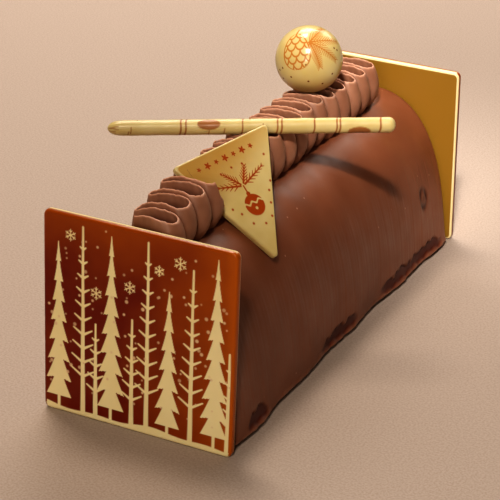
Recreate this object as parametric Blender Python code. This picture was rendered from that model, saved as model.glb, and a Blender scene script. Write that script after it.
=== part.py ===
"""Yule log cake: a glazed gutter-shaped log between two upright chocolate plaques, with a piped ruffle along
its ridge that carries a chocolate ball, a chocolate stick and a triangular plaque.

Metres, +Z up. The log lies along Y on z = 0, the front plaque faces -Y, and the origin is the middle of the
log's underside.
"""

import math

import bmesh
import bpy
from mathutils import Matrix, Vector

MM = 0.001
CLEARANCE = 0.3 * MM

# The two end plaques
PLAQUE_WIDTH = 85 * MM
PLAQUE_HEIGHT = 86.5 * MM
PLAQUE_THICKNESS = 3.6 * MM
PLAQUE_CORNER_RADIUS = 2.6 * MM
PLAQUE_EDGE_ROUNDING = 1.1 * MM
PLAQUE_SPACING = 230 * MM  # between their feet, from the front one's outer face to the back one's inner face
FRONT_LEAN = math.radians(2.1)  # each plaque leans in against the log's top edge
BACK_LEAN = math.radians(3.0)

# The log: a gutter section, a superellipse, that flares to a wavy foot of pooled glaze
LOG_HALF_WIDTH = 40.2 * MM
LOG_HEIGHT = 73.5 * MM
LOG_ROUNDNESS = 2.3  # 2 is an ellipse, more is squarer
LOG_END_RADIUS = 2.4 * MM
LOG_STATIONS = 25
LOG_ARCH_STEPS = 30
FOOT_HEIGHT = 5 * MM
FOOT_LIP_HEIGHT = 1.4 * MM
FOOT_FLARE = 0.9 * MM
FOOT_UNDERCUT = 1.6 * MM

# The piped ruffle: a ribbon standing on edge that runs to and fro across the ridge
RUFFLE_LOOPS = 18
RUFFLE_TOP = 93.4 * MM
RUFFLE_FRONT_DROP = 3.4 * MM  # how much lower the first loops stand
RUFFLE_FRONT_FADE = 26 * MM
RUFFLE_BED_TOP = 79.3 * MM
RUFFLE_BED_HALF_WIDTH = 6.8 * MM
RUFFLE_FRONT_GAP = 1.4 * MM
RUFFLE_BACK_GAP = 17 * MM
RUFFLE_RIM_DROP_RIGHT = 1.6 * MM
RUFFLE_RIM_DROP_LEFT = 3.2 * MM
RIBBON_RIM = 1.1 * MM
RIBBON_FOOT = 3.0 * MM
RIGHT_TURN_SHARE = 0.68  # of a loop's pitch: the wide pockets close on the right, narrow slits on the left
# Height share, reach across the ridge, and how far the ribbon has thinned from foot to rim
RIBBON_LEVELS = ((0.0, 9.6 * MM, 0.0), (0.34, 11.9 * MM, 0.3), (0.7, 11.2 * MM, 0.75), (1.0, 9.8 * MM, 1.0))
RUN_STEPS = 2
RIGHT_TURN_STEPS = 5
LEFT_TURN_STEPS = 3

# The ball, the stick and the triangle, in the same frame
BALL_RADIUS = 14.9 * MM
BALL_CENTRE = Vector((-2.9, 43.2, 106.7)) * MM
STICK_RADIUS = 3.4 * MM
STICK_LEFT_END = Vector((-52.5, -46.3, 95.2)) * MM
STICK_RIGHT_END = Vector((50.1, 17.2, 95.2)) * MM
STICK_LEFT_NOSE = 5.2 * MM
STICK_RIGHT_NOSE = 2.8 * MM
TRIANGLE_LEFT = Vector((-9.9, -68.5, 93.8)) * MM
TRIANGLE_TOP = Vector((6.4, -17.2, 98.7)) * MM
TRIANGLE_FOOT = Vector((31.9, -56.3, 58.1)) * MM
TRIANGLE_THICKNESS = 2.8 * MM
TRIANGLE_CORNER_RADIUS = 1.5 * MM
TRIANGLE_EDGE_ROUNDING = 0.6 * MM

MILK_GLAZE = ("milk_chocolate_glaze", (0.16, 0.058, 0.028), 0.42)
MILK_CREAM = ("piped_chocolate_cream", (0.24, 0.11, 0.06), 0.6)
PRINTED_PLAQUE = ("printed_white_chocolate", (0.30, 0.07, 0.008), 0.35)
WHITE_CHOCOLATE = ("white_chocolate", (0.72, 0.52, 0.22), 0.38)


def clear_scene():
    for obj in list(bpy.data.objects):
        bpy.data.objects.remove(obj)


def material(finish):
    name, colour, roughness = finish
    found = bpy.data.materials.get(name)
    if found:
        return found
    made = bpy.data.materials.new(name)
    made.use_nodes = True
    shader = made.node_tree.nodes["Principled BSDF"]
    shader.inputs["Base Color"].default_value = (*colour, 1)
    shader.inputs["Roughness"].default_value = roughness
    shader.inputs["Metallic"].default_value = 0.0
    return made


def make_object(name, shape, finish, smooth_angle=40):
    """A named object from a bmesh, its faces outwards and its curved faces shaded smooth."""
    bmesh.ops.recalc_face_normals(shape, faces=shape.faces)
    mesh = bpy.data.meshes.new(name)
    shape.to_mesh(mesh)
    shape.free()
    mesh.shade_smooth()
    mesh.set_sharp_from_angle(angle=math.radians(smooth_angle))
    obj = bpy.data.objects.new(name, mesh)
    bpy.context.scene.collection.objects.link(obj)
    if finish:
        mesh.materials.append(material(finish))
    return obj


def make_cutter(name, shape):
    cutter = make_object(name, shape, None)
    cutter.hide_render = True
    cutter.display_type = "WIRE"
    return cutter


def combine(obj, other, operation):
    modifier = obj.modifiers.new(f"{operation.lower()}_{other.name}", "BOOLEAN")
    modifier.operation = operation
    modifier.object = other


def round_edges(obj, width, segments=2):
    modifier = obj.modifiers.new("rounded_edges", "BEVEL")
    modifier.width = width
    modifier.segments = segments
    modifier.limit_method = "ANGLE"
    modifier.angle_limit = math.radians(50)


def loft(sections, closed_ends=True):
    """A bmesh skin through rings of points that all have the same count."""
    shape = bmesh.new()
    rings = [[shape.verts.new(point) for point in section] for section in sections]
    count = len(rings[0])
    for ring, following in zip(rings, rings[1:]):
        for i in range(count):
            j = (i + 1) % count
            shape.faces.new((ring[i], ring[j], following[j], following[i]))
    if closed_ends:
        shape.faces.new(rings[0])
        shape.faces.new(rings[-1])
    return shape


def rounded_outline(corners, radius, steps=3):
    """The corners of a flat outline, each replaced by an arc of this radius."""
    outline = []
    count = len(corners)
    for i, corner in enumerate(corners):
        before = (corners[i - 1] - corner).normalized()
        after = (corners[(i + 1) % count] - corner).normalized()
        half_angle = before.angle(after) / 2
        centre = corner + (before + after).normalized() * (radius / math.sin(half_angle))
        start = corner + before * (radius / math.tan(half_angle)) - centre
        end = corner + after * (radius / math.tan(half_angle)) - centre
        sweep = start.angle(end)
        for k in range(steps + 1):
            share = k / steps
            arm = (start * math.sin((1 - share) * sweep) + end * math.sin(share * sweep)) / math.sin(sweep)
            outline.append(centre + arm)
    return outline


def slab(outline, offset_low, offset_high):
    """A flat outline given thickness along its normal, from one offset to the other."""
    normal = (outline[1] - outline[0]).cross(outline[-1] - outline[0]).normalized()
    return loft([[point + normal * offset for point in outline] for offset in (offset_low, offset_high)])


def make_plaque(name, foot_y, lean, finish):
    """An upright square tablet whose nearer face stands on the foot line; lean tips its top towards +Y."""
    half = PLAQUE_WIDTH / 2
    sides = ((-half, 0), (half, 0), (half, PLAQUE_HEIGHT), (-half, PLAQUE_HEIGHT))
    outline = rounded_outline([Vector((x, 0, z)) for x, z in sides], PLAQUE_CORNER_RADIUS)
    shape = loft([outline, [point + Vector((0, PLAQUE_THICKNESS, 0)) for point in outline]])
    plaque = make_object(name, shape, finish)
    plaque.location = (0, foot_y, PLAQUE_THICKNESS * math.sin(abs(lean)))
    plaque.rotation_euler = (-lean, 0, 0)
    round_edges(plaque, PLAQUE_EDGE_ROUNDING)
    return plaque


def plaque_inner_face_at(height):
    """Where the two plaques' inner faces stand along Y at this height."""
    front = -PLAQUE_SPACING / 2 + PLAQUE_THICKNESS / math.cos(FRONT_LEAN) + height * math.tan(FRONT_LEAN)
    back = PLAQUE_SPACING / 2 - height * math.tan(BACK_LEAN)
    return front, back


def foot_wave(y):
    """How far the pooled foot stands out of the gutter section, varying along the log."""
    slow = 1.3 * MM * math.cos(math.tau * (y + 115 * MM) / (230 * MM))
    quick = 0.7 * MM * math.sin(math.tau * y / (48 * MM) + 0.75)
    return slow + quick


def log_surface(x):
    """Height of the log's upper surface over a point x off its middle."""
    share = min(abs(x) / LOG_HALF_WIDTH, 1)
    return LOG_HEIGHT * (1 - share**LOG_ROUNDNESS) ** (1 / LOG_ROUNDNESS)


def log_section(y, inset):
    """One closed cross-section of the log, from the right foot over the top to the left foot."""
    flare = FOOT_FLARE + foot_wave(y)
    sole = LOG_HALF_WIDTH + flare - FOOT_UNDERCUT - inset
    section = [Vector((sole, y, 0)), Vector((LOG_HALF_WIDTH + flare - inset, y, FOOT_LIP_HEIGHT))]
    for i in range(1, LOG_ARCH_STEPS):
        angle = math.pi * i / LOG_ARCH_STEPS
        across, up = math.cos(angle), math.sin(angle)
        power = 2 / LOG_ROUNDNESS
        x = (LOG_HALF_WIDTH - inset) * math.copysign(abs(across) ** power, across)
        z = (LOG_HEIGHT - inset) * up**power
        if z < FOOT_HEIGHT:
            continue
        fade = math.exp(-(z - FOOT_HEIGHT) / (2 * FOOT_HEIGHT))
        section.append(Vector((x + math.copysign(flare * fade, x), y, z)))
    section.append(Vector((-LOG_HALF_WIDTH - flare + inset, y, FOOT_LIP_HEIGHT)))
    section.append(Vector((-sole, y, 0)))
    return section


def make_log():
    front, back = plaque_inner_face_at(LOG_HEIGHT)
    start, end = front + CLEARANCE, back - CLEARANCE
    stations = [(start, LOG_END_RADIUS), (start + 0.3 * LOG_END_RADIUS, 0.3 * LOG_END_RADIUS)]
    inner = (start + LOG_END_RADIUS, end - LOG_END_RADIUS)
    for i in range(LOG_STATIONS):
        stations.append((inner[0] + (inner[1] - inner[0]) * i / (LOG_STATIONS - 1), 0))
    stations += [(end - 0.3 * LOG_END_RADIUS, 0.3 * LOG_END_RADIUS), (end, LOG_END_RADIUS)]
    return make_object("log_cake", loft([log_section(y, inset) for y, inset in stations]), MILK_GLAZE, 50)


def ribbon_path(reach, pitch, wide, start):
    """The middle of the ribbon at one height: runs across the ridge joined by half-round turns."""
    narrow = pitch - wide
    path = []
    for loop in range(RUFFLE_LOOPS):
        y = start + loop * pitch
        right, left = reach - wide / 2, -reach + narrow / 2
        for i in range(RUN_STEPS):
            path.append((left + (right - left) * (i + 0.5) / RUN_STEPS, y))
        for i in range(RIGHT_TURN_STEPS + 1):
            angle = math.pi * (i / RIGHT_TURN_STEPS - 0.5)
            path.append((right + wide / 2 * math.cos(angle), y + wide / 2 * (1 + math.sin(angle))))
        for i in range(RUN_STEPS):
            path.append((right - (right - left) * (i + 0.5) / RUN_STEPS, y + wide))
        if loop == RUFFLE_LOOPS - 1:
            break
        for i in range(LEFT_TURN_STEPS + 1):
            angle = math.pi * (i / LEFT_TURN_STEPS - 0.5)
            path.append((left - narrow / 2 * math.cos(angle), y + wide + narrow / 2 * (1 + math.sin(angle))))
    return [Vector((x, y, 0)) for x, y in path]


def side_direction(path, i):
    """The flat direction square to the path at its point i, to its right."""
    before, after = path[max(i - 1, 0)], path[min(i + 1, len(path) - 1)]
    along = (after - before).normalized()
    return Vector((along.y, -along.x, 0))


def rim_height(x, from_front):
    """The ribbon's top edge arches: highest over the ridge, lower at its turns and on the first loops."""
    reach = RIBBON_LEVELS[-1][1]
    drop = RUFFLE_RIM_DROP_RIGHT if x > 0 else RUFFLE_RIM_DROP_LEFT
    first_loops = RUFFLE_FRONT_DROP * math.exp(-((from_front / RUFFLE_FRONT_FADE) ** 2))
    return RUFFLE_TOP - drop * (abs(x) / reach) ** 2 - first_loops


def make_ribbon(start, end):
    pitch = (end - start - RIBBON_FOOT) / (RUFFLE_LOOPS - 1 + RIGHT_TURN_SHARE)
    wide = pitch * RIGHT_TURN_SHARE
    rim = ribbon_path(RIBBON_LEVELS[-1][1], pitch, wide, start + RIBBON_FOOT / 2)
    levels = []
    for height_share, reach, thinned in RIBBON_LEVELS:
        path = ribbon_path(reach, pitch, wide, start + RIBBON_FOOT / 2)
        half = (RIBBON_FOOT + (RIBBON_RIM - RIBBON_FOOT) * thinned) / 2
        sides = []
        for i, point in enumerate(path):
            aside = side_direction(path, i) * half
            low, high = log_surface(point.x) + 2 * CLEARANCE, rim_height(rim[i].x, rim[i].y - start)
            lift = Vector((0, 0, low + (high - low) * height_share))
            sides.append((point + aside + lift, point - aside + lift))
        levels.append(sides)
    sections = []
    for i in range(len(rim)):
        right_side = [level[i][0] for level in levels]
        left_side = [level[i][1] for level in reversed(levels)]
        sections.append(right_side + left_side)
    return loft(sections)


def make_ruffle_bed(start, end):
    """The solid cream under the pockets, which joins all the ribbon's runs into one piece."""
    half = RUFFLE_BED_HALF_WIDTH
    across = [half * (i / 3 - 1) for i in range(7)]
    sections = []
    for y in (start + RIBBON_FOOT / 2, end - RIBBON_FOOT / 2):
        floor = [Vector((x, y, log_surface(x) + CLEARANCE)) for x in across]
        roof = [Vector((x, y, RUFFLE_BED_TOP - 2 * MM * (x / half) ** 2)) for x in reversed(across)]
        sections.append(floor + roof)
    return loft(sections)


def triangle_outline(growth=0.0):
    corners = [TRIANGLE_LEFT, TRIANGLE_FOOT, TRIANGLE_TOP]
    middle = sum(corners, Vector()) / 3
    grown = [corner + (corner - middle).normalized() * 2 * growth for corner in corners]
    return rounded_outline(grown, TRIANGLE_CORNER_RADIUS)


def make_triangle():
    half = TRIANGLE_THICKNESS / 2
    triangle = make_object("triangle_plaque", slab(triangle_outline(), -half, half), WHITE_CHOCOLATE)
    round_edges(triangle, TRIANGLE_EDGE_ROUNDING)
    return triangle


def triangle_slot_cutter():
    reach = TRIANGLE_THICKNESS / 2 + CLEARANCE
    return make_cutter("cut_triangle_slot", slab(triangle_outline(CLEARANCE), -reach, reach))


def triangle_front_cutter():
    """Clears the cream that the triangle pressed flat in front of it, away from its buried left corner."""
    to_top = TRIANGLE_LEFT.lerp(TRIANGLE_TOP, 0.16)
    to_foot = TRIANGLE_LEFT.lerp(TRIANGLE_FOOT, 0.35)
    beyond_top = TRIANGLE_LEFT.lerp(TRIANGLE_TOP, 1.02)
    corners = [to_top, to_foot, TRIANGLE_FOOT, beyond_top]
    return make_cutter("cut_triangle_front", slab(corners, 0, 18 * MM))


def ball_shape(radius):
    shape = bmesh.new()
    bmesh.ops.create_uvsphere(shape, u_segments=30, v_segments=18, radius=radius)
    return shape


def make_ball():
    ball = make_object("chocolate_ball", ball_shape(BALL_RADIUS), WHITE_CHOCOLATE)
    ball.location = BALL_CENTRE
    return ball


def ball_seat_cutter():
    cutter = make_cutter("cut_ball_seat", ball_shape(BALL_RADIUS + CLEARANCE))
    cutter.location = BALL_CENTRE
    return cutter


def stick_shape(radius, length, left_nose, right_nose):
    """A round bar about +X from 0 to length, its two ends turned to half ellipses."""
    steps = 4
    profile = []
    for i in range(steps):
        angle = math.pi / 2 * i / steps
        profile.append(Vector((left_nose * (1 - math.cos(angle)), 0, radius * math.sin(angle))))
    for i in range(steps, -1, -1):
        angle = math.pi / 2 * i / steps
        profile.append(Vector((length - right_nose * (1 - math.cos(angle)), 0, radius * math.sin(angle))))
    profile.insert(steps, Vector((left_nose, 0, radius)))
    shape = bmesh.new()
    points = [shape.verts.new(point) for point in profile]
    edges = [shape.edges.new(pair) for pair in zip(points, points[1:])]
    bmesh.ops.spin(
        shape, geom=points + edges, cent=(0, 0, 0), axis=(1, 0, 0), angle=math.tau, steps=18, use_merge=True)
    bmesh.ops.remove_doubles(shape, verts=shape.verts, dist=0.01 * MM)
    return shape


def place_stick(obj, start, end):
    along = (end - start).normalized()
    side = Vector((0, 0, 1)).cross(along).normalized()
    up = along.cross(side)
    turn = Matrix((along, side, up)).transposed().to_4x4()
    obj.matrix_world = Matrix.Translation(start) @ turn
    return obj


def make_stick():
    length = (STICK_RIGHT_END - STICK_LEFT_END).length
    shape = stick_shape(STICK_RADIUS, length, STICK_LEFT_NOSE, STICK_RIGHT_NOSE)
    stick = make_object("chocolate_stick", shape, WHITE_CHOCOLATE)
    return place_stick(stick, STICK_LEFT_END, STICK_RIGHT_END)


def stick_groove_cutter():
    length = (STICK_RIGHT_END - STICK_LEFT_END).length
    shape = stick_shape(STICK_RADIUS + CLEARANCE, length, STICK_LEFT_NOSE, STICK_RIGHT_NOSE)
    return place_stick(make_cutter("cut_stick_groove", shape), STICK_LEFT_END, STICK_RIGHT_END)


def make_ruffle():
    front, back = plaque_inner_face_at(RUFFLE_TOP)
    start, end = front + RUFFLE_FRONT_GAP, back - RUFFLE_BACK_GAP
    bed = make_cutter("ruffle_bed", make_ruffle_bed(start, end))
    ruffle = make_object("piped_ruffle", make_ribbon(start, end), MILK_CREAM)
    combine(ruffle, bed, "UNION")
    for make in (ball_seat_cutter, stick_groove_cutter, triangle_slot_cutter, triangle_front_cutter):
        combine(ruffle, make(), "DIFFERENCE")
    return ruffle


def main():
    clear_scene()
    make_plaque("front_plaque", -PLAQUE_SPACING / 2, FRONT_LEAN, PRINTED_PLAQUE)
    make_plaque("back_plaque", PLAQUE_SPACING / 2, -BACK_LEAN, WHITE_CHOCOLATE)
    make_log()
    make_ruffle()
    make_ball()
    make_stick()
    make_triangle()


main()
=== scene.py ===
"""Looks of the yule log cake: the glazed log, its piped ruffle and the printed white chocolate pieces."""

import math

import bmesh
import bpy
import numpy as np
from mathutils import Matrix, Vector


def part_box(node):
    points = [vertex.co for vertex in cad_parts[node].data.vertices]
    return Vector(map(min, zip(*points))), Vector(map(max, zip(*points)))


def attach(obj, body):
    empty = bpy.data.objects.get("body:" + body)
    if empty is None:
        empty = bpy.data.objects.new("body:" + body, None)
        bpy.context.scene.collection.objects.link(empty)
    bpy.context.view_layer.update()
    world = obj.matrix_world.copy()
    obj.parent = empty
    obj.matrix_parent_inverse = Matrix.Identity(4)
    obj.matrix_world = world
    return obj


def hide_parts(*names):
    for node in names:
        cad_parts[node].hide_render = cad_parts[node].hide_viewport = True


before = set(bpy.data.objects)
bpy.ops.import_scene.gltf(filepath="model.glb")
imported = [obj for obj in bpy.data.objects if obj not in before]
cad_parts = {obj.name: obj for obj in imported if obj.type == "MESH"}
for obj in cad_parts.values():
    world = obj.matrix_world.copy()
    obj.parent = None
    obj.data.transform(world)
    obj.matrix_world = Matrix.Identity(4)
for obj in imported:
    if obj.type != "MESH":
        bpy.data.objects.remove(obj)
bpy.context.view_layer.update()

MM = 0.001

# The camera
CAMERA_PLACE = Vector((334.512, -688.598, 394.296)) * MM
CAMERA_AZIMUTH = math.radians(26.4695)
CAMERA_TILT = math.radians(25.3114)
CAMERA_ROLL = math.radians(1.2467)
CAMERA_LENS = 139.58  # on a 36 mm sensor

# Forms that the frame's boxes don't give, the same as in the solids, in millimetres
FRONT_LEAN = math.radians(-2.1)
BACK_LEAN = math.radians(3.0)
TILE_WIDTH, TILE_HEIGHT, TILE_THICKNESS = 85.0, 86.5, 3.6
TILE_CORNER, TILE_EDGE = 2.6, 1.1
TILE_PRINT_STEP = 0.3
LOG_HALF_WIDTH, LOG_HEIGHT, LOG_ROUNDNESS = 40.2, 73.5, 2.3
LOG_END_RADIUS = 2.4
RUFFLE_LOOPS = 18
RUFFLE_RIM, RUFFLE_BED = 93.2, 79.3
STICK_RADIUS = 3.34
STICK_LEFT_NOSE, STICK_RIGHT_NOSE = 6.0, 2.9
STICK_LEFT_END = np.array((-52.5, -46.3, 95.2))
STICK_RIGHT_END = np.array((50.08, 17.19, 95.2))
TRIANGLE_LEFT = np.array((-9.9, -68.5, 93.8))
TRIANGLE_TOP = np.array((6.4, -17.2, 98.7))
TRIANGLE_FOOT = np.array((31.9, -56.3, 58.1))
TRIANGLE_THICKNESS, TRIANGLE_CORNER, TRIANGLE_EDGE = 2.8, 1.5, 0.6
BALL_CENTRE = np.array((-2.9, 43.2, 106.7))
BALL_RADIUS = 14.85


# ---------------------------------------------------------------- meshes

def smoothstep(low, high, value):
    share = np.clip((value - low) / (high - low), 0, 1)
    return share * share * (3 - 2 * share)


def ripple(position, wavelengths, seed):
    """A smooth irregular wave of about -1 to 1 along a position, the sum of a few sines of unlike length."""
    phases = np.random.default_rng(seed).uniform(0, math.tau, len(wavelengths))
    total = sum(np.sin(math.tau * position / length + phase) for length, phase in zip(wavelengths, phases))
    return total / math.sqrt(len(wavelengths))


def finish_piece(name, shape, material, node=None, smooth_angle=55):
    """The bmesh, in metres, as a smooth-shaded object that stands for a node of the frame."""
    mesh = bpy.data.meshes.new(name)
    shape.to_mesh(mesh)
    shape.free()
    mesh.shade_smooth()
    mesh.set_sharp_from_angle(angle=math.radians(smooth_angle))
    mesh.materials.append(material)
    piece = bpy.data.objects.new(name, mesh)
    bpy.context.scene.collection.objects.link(piece)
    if node:
        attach(piece, "root")
        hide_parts(node)
    return piece


def woven_shape(columns, rows, place):
    """A grid whose points place(u, v) puts in space, in millimetres, with its meeting seams merged and holes closed.

    u and v run from 0 to 1. place also gives a dict of values for each point, kept as layers of the bmesh.
    """
    shape = bmesh.new()
    bmesh.ops.create_grid(shape, x_segments=columns, y_segments=rows, size=0.5)
    flat = np.array([point.co for point in shape.verts])
    places, layers = place(flat[:, 0] + 0.5, flat[:, 1] + 0.5)
    for point, where in zip(shape.verts, places * MM):
        point.co = where
    for name, values in layers.items():
        layer = shape.verts.layers.float.new(name)
        for point, value in zip(shape.verts, values):
            point[layer] = value
    bmesh.ops.remove_doubles(shape, verts=shape.verts, dist=0.004 * MM)
    bmesh.ops.holes_fill(shape, edges=shape.edges, sides=0)
    bmesh.ops.recalc_face_normals(shape, faces=shape.faces)
    return shape


# ---------------------------------------------------------------- the log

def log_top(x):
    """Height of the log's upper surface over a point x off its middle."""
    share = np.clip(np.abs(x) / LOG_HALF_WIDTH, 0, 1)
    return LOG_HEIGHT * (1 - share**LOG_ROUNDNESS) ** (1 / LOG_ROUNDNESS)


def foot_flare(y):
    """How far the pooled glaze stands out of the gutter section at the foot."""
    slow = 1.3 * np.cos(math.tau * (y + 115) / 230)
    quick = 0.7 * np.sin(math.tau * y / 48 + 0.75)
    return 0.9 + slow + quick


def pooled(y, side):
    """0 to 1: where the glaze has pulled off the foot and left a hollow above the lip, coloured darker and redder with
    painted shade in the recess.
    """
    if side > 0:
        stretches = ((36, 72), (66, 104), (-26, 10), (-98, -80))
    else:
        stretches = ((-70, -22), (12, 64))
    reach = np.zeros_like(y)
    for start, end in stretches:
        share = np.clip((y - start) / (end - start), 0, 1)
        reach = np.maximum(reach, np.sin(math.pi * share) ** 0.6)
    return reach


def log_place(u, v):
    """The glazed log's skin: u runs along it with both ends closed, v round its section from sole to sole."""
    start, end = (corner.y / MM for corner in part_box("log_cake"))
    cap = 0.02
    along = np.clip((u - cap) / (1 - 2 * cap), 0, 1)
    lean = end - start
    y = start + lean * along
    ends = np.minimum(np.minimum(u, 1 - u) / cap, 1)
    from_end = np.minimum(y - start, end - y)
    rounding = np.clip(1 - from_end / LOG_END_RADIUS, 0, 1)
    inset = LOG_END_RADIUS * (1 - np.sqrt(1 - rounding**2))
    under = 0.05
    share = np.clip((v - under) / (1 - 2 * under), 0, 1)
    angle = math.pi * (0.5 - 0.5 * np.cos(math.pi * share))
    across, up = np.cos(angle), np.sin(angle)
    power = 2 / LOG_ROUNDNESS
    side = np.where(v < 0.5, 1.0, -1.0)
    x = (LOG_HALF_WIDTH - inset) * np.abs(across) ** power
    z = (LOG_HEIGHT - inset) * np.abs(up) ** power
    shaded_hollow = np.where(side > 0, pooled(y, 1), pooled(y, -1))
    ragged = 0.5 * ripple(y + 40 * side, (23, 11, 6.1, 3.3), 3)
    flare = foot_flare(y) + ragged
    lip_top = 4.4 + 0.9 * ripple(y + 70 * side, (31, 17, 7.3), 5)
    x = x + (foot_flare(y) - 0.2) * np.exp(-z / 11)
    x = x + (0.5 + 0.5 * shaded_hollow) * (1 - smoothstep(lip_top * 0.35, lip_top, z)) * (1 + 0.4 * ragged)
    dent_top = lip_top + 1.0 + 4.2 * shaded_hollow + 0.5 * ripple(y, (13, 5.2), 9)
    dent = (shaded_hollow > 0) * smoothstep(lip_top * 0.55, lip_top * 0.9, z) * (1 - smoothstep(dent_top - 0.5, dent_top, z))
    x = x - 0.9 * shaded_hollow * dent
    x = x - 3.6 * (1 - smoothstep(0.3, 3.0, z)) ** 1.4
    streaks = ripple(y, (9.1, 4.7, 2.9, 2.1), 11) * smoothstep(6, 12, z) * (1 - smoothstep(44, 56, z))
    relief = 0.06 * streaks + 0.22 * ripple(y + 0.4 * z, (63, 38, 21), 13) * smoothstep(4, 14, z)
    x = x + relief * np.abs(across)
    z = z + relief * up * (z > 20)
    below = np.minimum(v, 1 - v) / under
    sole = below < 1
    x = np.where(sole, x * below, x)
    z = np.where(sole, 0, z)
    x, z = x * ends, np.where(ends < 1, 30 + (z - 30) * ends, z)
    x, z = carve_crater(x * side, y, z)
    rim = np.exp(-(((z - lip_top * 0.55) / 1.0) ** 2)) * (1 - sole)
    # The first layer marks the painted shade in the hollows above the lip.
    return np.stack((x, y, z), axis=1), {"shaded_hollow": dent * np.minimum(shaded_hollow * 2, 1), "lip": rim, "scar": crater(y, z, side)[1]}


def crater(y, z, side):
    """Depth and darkness of the oval scar on the right flank near the back."""
    distance = np.hypot((y - 88) / 4.2, (z - 31.5) / 5.0)
    ring = np.exp(-(((distance - 0.85) / 0.28) ** 2)) * (1 + 0.4 * np.sin(3 * np.arctan2(z - 31.5, y - 88) + 1))
    middle = np.exp(-((distance / 0.35) ** 2))
    on_side = side > 0
    return (0.5 * ring + 0.15 * middle) * on_side, np.clip(ring + 0.5 * middle, 0, 1) * on_side


def carve_crater(x, y, z):
    depth = crater(y, z, np.sign(x))[0]
    return x - depth, z


def make_log():
    shape = woven_shape(340, 210, log_place)
    return finish_piece("glazed_log", shape, milk_chocolate_glaze(), "log_cake")


# ---------------------------------------------------------------- the piped ruffle

def ribbon_plan(phase, reach_right, reach_left, wide_right, wide_left, pitch):
    """The ribbon's middle line in plan: phase counts loops. Runs across the ridge are joined by round turns."""
    loop = np.floor(phase)
    part = phase - loop
    right, left = reach_right - wide_right / 2, -(reach_left - wide_left / 2)
    centre = (loop + 0.5) * pitch
    next_left = (loop + 1) * pitch
    before_left = loop * pitch
    run_out = part / 0.28
    turn_right = (part - 0.28) / 0.26
    run_back = (part - 0.54) / 0.28
    turn_left = (part - 0.82) / 0.18
    x = np.select(
        [part < 0.28, part < 0.54, part < 0.82],
        [left + (right - left) * run_out, right + wide_right / 2 * np.sin(math.pi * turn_right),
         right + (left - right) * run_back],
        left - wide_left / 2 * np.sin(math.pi * turn_left))
    y = np.select(
        [part < 0.28, part < 0.54, part < 0.82],
        [before_left + wide_left / 2 + (centre - wide_right / 2 - before_left - wide_left / 2) * run_out,
         centre - wide_right / 2 * np.cos(math.pi * turn_right),
         centre + wide_right / 2 + (next_left - wide_left / 2 - centre - wide_right / 2) * run_back],
        next_left - wide_left / 2 * np.cos(math.pi * turn_left))
    return x, y


def loop_jitter(phase, spread, seed):
    """A value that drifts from loop to loop, as a hand-held piping bag does."""
    stops = np.random.default_rng(seed).normal(0, spread, RUFFLE_LOOPS + 3)
    return np.interp(phase, np.arange(RUFFLE_LOOPS + 3) - 0.5, stops)


def ribbon_middle(phase, height):
    """Where the ribbon's middle stands at this phase and height share, and the height of its rim there."""
    low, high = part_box("piped_ruffle")
    start, end = low.y / MM + 0.9, high.y / MM - 0.9
    pitch = (end - start) / RUFFLE_LOOPS
    belly = np.sin(math.pi * (0.18 + 0.72 * (1 - height)))
    near_front = np.exp(-((phase / 2.4) ** 2))
    reach_right = 5.6 + 6.1 * belly + 0.3 * near_front + loop_jitter(phase, 0.3, 21)
    reach_left = 11.2 + 0.7 * belly + loop_jitter(phase, 0.3, 22)
    wide_right = pitch * (0.6 + 0.27 * belly)
    wide_left = pitch * (0.62 - 0.22 * height)
    x, y = ribbon_plan(phase, reach_right, reach_left, wide_right, wide_left, pitch)
    y = start + y + loop_jitter(phase, 0.25, 23) + 1.1 * (height - 0.5)
    y = y + 0.22 * height**2 * ripple(phase, (0.37, 0.231, 0.147, 0.061), 25)
    front_drop = 3.4 * np.exp(-(((y - start) / 26) ** 2))
    drop = np.where(x > 0, 1.6, 1.4 + 1.2 * near_front) * (x / 9.4) ** 2
    rim = RUFFLE_RIM - drop - front_drop + loop_jitter(phase, 0.25, 26)
    rim = rim + 0.16 * ripple(phase, (0.41, 0.173, 0.097, 0.043), 27)
    return x, y, rim


def ribbon_place(u, v):
    """The ribbon's skin: u runs along it, v round its section from the foot over the rim and back."""
    phase = 0.04 + u * (RUFFLE_LOOPS - 0.1)
    section = np.clip((v - 0.06) / 0.88, 0, 1)
    height = 1 - np.abs(2 * section - 1)
    height = np.sin(height * math.pi / 2) ** 0.9
    side = np.where(v < 0.5, 1.0, -1.0)
    step = 0.004
    x, y, _ = ribbon_middle(phase, height)
    x0, y0, _ = ribbon_middle(phase - step, height)
    x1, y1, _ = ribbon_middle(phase + step, height)
    length = np.hypot(x1 - x0, y1 - y0) + 1e-9
    aside_x, aside_y = (y1 - y0) / length, -(x1 - x0) / length
    thick = 3.3 - 2.5 * height**0.8
    thick = thick * np.sqrt(np.clip(1 - np.clip((height - 0.95) / 0.05, 0, 1) ** 2, 0.02, 1))
    bottom = np.minimum(v, 1 - v) / 0.06
    thick = thick * np.clip(bottom, 0, 1)
    rim = ribbon_middle(phase, np.ones_like(height))[2]
    foot = log_top(x) - 0.4
    z = foot + (rim - foot) * height
    x = x + aside_x * side * thick / 2
    y = y + aside_y * side * thick / 2
    places = press_pieces_in(np.stack((x, y, z), axis=1))
    # Painted shade: the lower inside of each ribbon, towards the ridge, is marked for the dark pocket colour.
    shaded_inner = np.exp(-((x / 8.5) ** 4)) * (1 - smoothstep(0.55, 0.95, height))
    return places, {"rim": smoothstep(0.962, 0.998, height), "pocket_shade": shaded_inner}


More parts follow.
